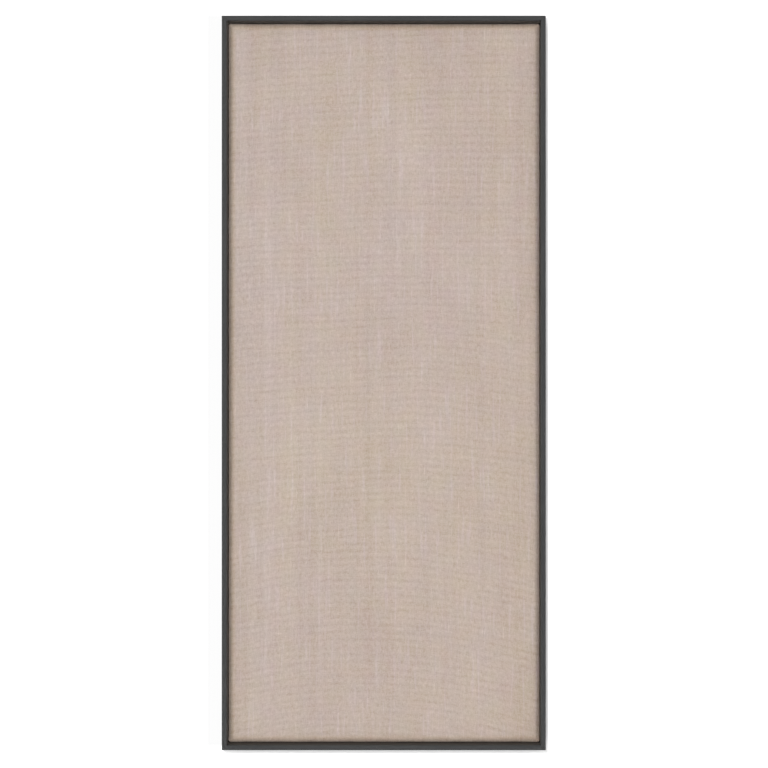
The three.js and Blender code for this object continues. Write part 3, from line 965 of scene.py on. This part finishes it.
class PINBOARD_OT_back(Operator):
    """Gives the back board its brown hardboard"""

    bl_idname = "pinboard.back"
    bl_label = "Back board"

    def execute(self, context):
        colour = context.scene.pinboard_wood.hardboard
        finish = pressed_fibre(
            "hardboard", colour, patch=14.0, contrast=0.3, roughness=0.55, lattice=1.0
        )
        dress(["back_board"], finish)
        return {"FINISHED"}


class PINBOARD_OT_hangers(Operator):
    """Makes the four stamped keyhole plates"""

    bl_idname = "pinboard.hangers"
    bl_label = "Hanger plates"

    def execute(self, context):
        metal = context.scene.pinboard_metal
        finish = plated_metal("zinc_plate", metal.zinc, roughness=0.34, tarnish=0.15)
        mesh = plate_mesh(metal, finish)
        for node in HANGERS:
            place = rear_place(node, -QUARTER if node.endswith(STILES) else math.pi)
            add_piece("keyhole_" + node, mesh, place, [node])
        return {"FINISHED"}


class PINBOARD_OT_screws(Operator):
    """Makes every screw, each turned its own way"""

    bl_idname = "pinboard.screws"
    bl_label = "Screws"

    def execute(self, context):
        metal = context.scene.pinboard_metal
        finish = plated_metal("zinc_screw", metal.zinc, roughness=0.32, tarnish=0.2)
        meshes = {}
        turns = np.random.default_rng(metal.seed).uniform(0, QUARTER, len(SCREWS))
        for node, turn in zip(SCREWS, turns):
            low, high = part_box(node)
            length = round(high.y - low.y, 5)
            if length not in meshes:
                meshes[length] = screw_mesh(length, metal, finish)
            place = rear_place(node, turn)
            add_piece("cut_" + node, meshes[length], place, [node])
        return {"FINISHED"}


class PINBOARD_OT_nails(Operator):
    """Gives the mitre nails their bare steel"""

    bl_idname = "pinboard.nails"
    bl_label = "Mitre nails"

    def execute(self, context):
        steel = context.scene.pinboard_metal.steel
        dress(NAILS, plated_metal("bare_steel", steel, roughness=0.42, tarnish=0.5))
        return {"FINISHED"}


def stage_plane(name, corners, faces, finish):
    """A flat part of the stage."""
    mesh = bpy.data.meshes.new(name)
    mesh.from_pydata(corners, [], faces)
    mesh.materials.append(finish)
    plane = bpy.data.objects.new(name, mesh)
    bpy.context.scene.collection.objects.link(plane)
    return plane


def add_light(name, kind, strength, towards):
    """A light that shines along that direction."""
    lamp = bpy.data.lights.new(name, kind)
    lamp.energy = strength
    light = bpy.data.objects.new(name, lamp)
    light.rotation_euler = towards.to_track_quat("-Z", "Y").to_euler()
    bpy.context.scene.collection.objects.link(light)
    return light


def add_wall_quarter(side_x, side_z, finish):
    """A quarter of the wall that the board hangs on, open behind the board for views of it."""
    edge_x = side_x * (BOARD_HIGH.x + OPENING_X[side_x])
    edge_z = side_z * (BOARD_HIGH.z + OPENING_Z[side_z])
    far_x = side_x * STAGE_REACH
    far_z = STAGE_REACH if side_z > 0 else FLOOR_Z
    along_z = [(0, edge_z), (0, far_z), (far_x, far_z)]
    along_x = [(far_x, 0), (edge_x, 0), (edge_x, edge_z)]
    corners = [(x, WALL_Y, z) for x, z in along_z + along_x]
    faces = [(0, 1, 2, 5), (5, 2, 3, 4)]
    return stage_plane(f"wall_{side_x}_{side_z}", corners, faces, finish)


def add_wall(stage):
    """The wall in quarters, each with its own sun, so that the drop shadow's width stays even."""
    finish = plain_matt("stage_white", stage.wall)
    far = STAGE_REACH
    outline = ((-far, -far), (far, -far), (far, WALL_Y), (-far, WALL_Y))
    ground = [(x, y, FLOOR_Z) for x, y in outline]
    floor = stage_plane("floor", ground, [(0, 1, 2, 3)], finish)
    floor.visible_shadow = False
    for side_x in (-1, 1):
        for side_z in (-1, 1):
            quarter = add_wall_quarter(side_x, side_z, finish)
            towards = Vector((SUN_LEAN_X[side_x], 1.0, SUN_LEAN_Z[side_z]))
            sun = add_light(f"{quarter.name}_sun", "SUN", stage.wall_sun, towards)
            sun.data.angle = 0.05
            lit = bpy.data.collections.new(sun.name)
            lit.objects.link(quarter)
            sun.light_linking.receiver_collection = lit


def add_lights(stage):
    """Even light all round, and a broad soft light from the left, a little above the middle."""
    world = bpy.data.worlds.new("even_light")
    world.use_nodes = True
    sky = world.node_tree.nodes["Background"]
    sky.inputs["Color"].default_value = (1, 1, 1, 1)
    sky.inputs["Strength"].default_value = stage.sky
    bpy.context.scene.world = world

    place = Vector((-3.2, -3.7, 0.9))
    key = add_light("soft_key", "AREA", stage.key, -place)
    key.location = place
    key.data.shape = "RECTANGLE"
    key.data.size = key.data.size_y = 2.0


def add_camera(stage):
    """The camera, level and square to the board, a little right of its middle."""
    sensor = 36.0
    view_width = 1.0658
    middle_shift = 0.0003
    camera_z = -1.5 * MM
    data = bpy.data.cameras.new("camera")
    data.sensor_width = sensor
    data.lens = sensor * stage.camera_gap / view_width
    data.shift_x = -stage.camera_side / view_width + middle_shift
    camera = bpy.data.objects.new("camera", data)
    camera.location = (stage.camera_side, BOARD_LOW.y - stage.camera_gap, camera_z)
    camera.rotation_euler = (QUARTER, 0, 0)
    scene = bpy.context.scene
    scene.collection.objects.link(camera)
    scene.camera = camera
    scene.view_settings.view_transform = "Standard"


class PINBOARD_OT_stage(Operator):
    """Sets up the wall, the floor, the light and the camera"""

    bl_idname = "pinboard.stage"
    bl_label = "Stage"

    def execute(self, context):
        stage = context.scene.pinboard_stage
        add_camera(stage)
        add_wall(stage)
        add_lights(stage)
        return {"FINISHED"}


OPERATORS = (
    PINBOARD_OT_fabric,
    PINBOARD_OT_staples,
    PINBOARD_OT_frame,
    PINBOARD_OT_core,
    PINBOARD_OT_back,
    PINBOARD_OT_hangers,
    PINBOARD_OT_screws,
    PINBOARD_OT_nails,
    PINBOARD_OT_stage,
)
SETTINGS = {
    "pinboard_cloth": PinboardCloth,
    "pinboard_wood": PinboardWood,
    "pinboard_metal": PinboardMetal,
    "pinboard_stage": PinboardStage,
}


class PINBOARD_PT_sidebar(Panel):
    """Lists the board's pieces and their settings"""

    bl_idname = "PINBOARD_PT_sidebar"
    bl_label = "Pin board"
    bl_space_type = "VIEW_3D"
    bl_region_type = "UI"
    bl_category = "Pin board"

    def draw(self, context):
        for operator in OPERATORS:
            self.layout.operator(operator.bl_idname)
        for name, group in SETTINGS.items():
            box = self.layout.box()
            settings = getattr(context.scene, name)
            for prop in group.__annotations__:
                box.prop(settings, prop)


CLASSES = (*SETTINGS.values(), *OPERATORS, PINBOARD_PT_sidebar)


def register():
    """Makes the operators, the settings and the panel known."""
    for group in CLASSES:
        bpy.utils.register_class(group)
    for name, group in SETTINGS.items():
        setattr(bpy.types.Scene, name, PointerProperty(type=group))


def unregister():
    """Takes them away again, in reverse."""
    for name in SETTINGS:
        delattr(bpy.types.Scene, name)
    for group in reversed(CLASSES):
        bpy.utils.unregister_class(group)


def main():
    """Makes every piece and the stage."""
    register()
    for operator in OPERATORS:
        getattr(bpy.ops.pinboard, operator.bl_idname.split(".")[1])()


if __name__ == "__main__":
    main()
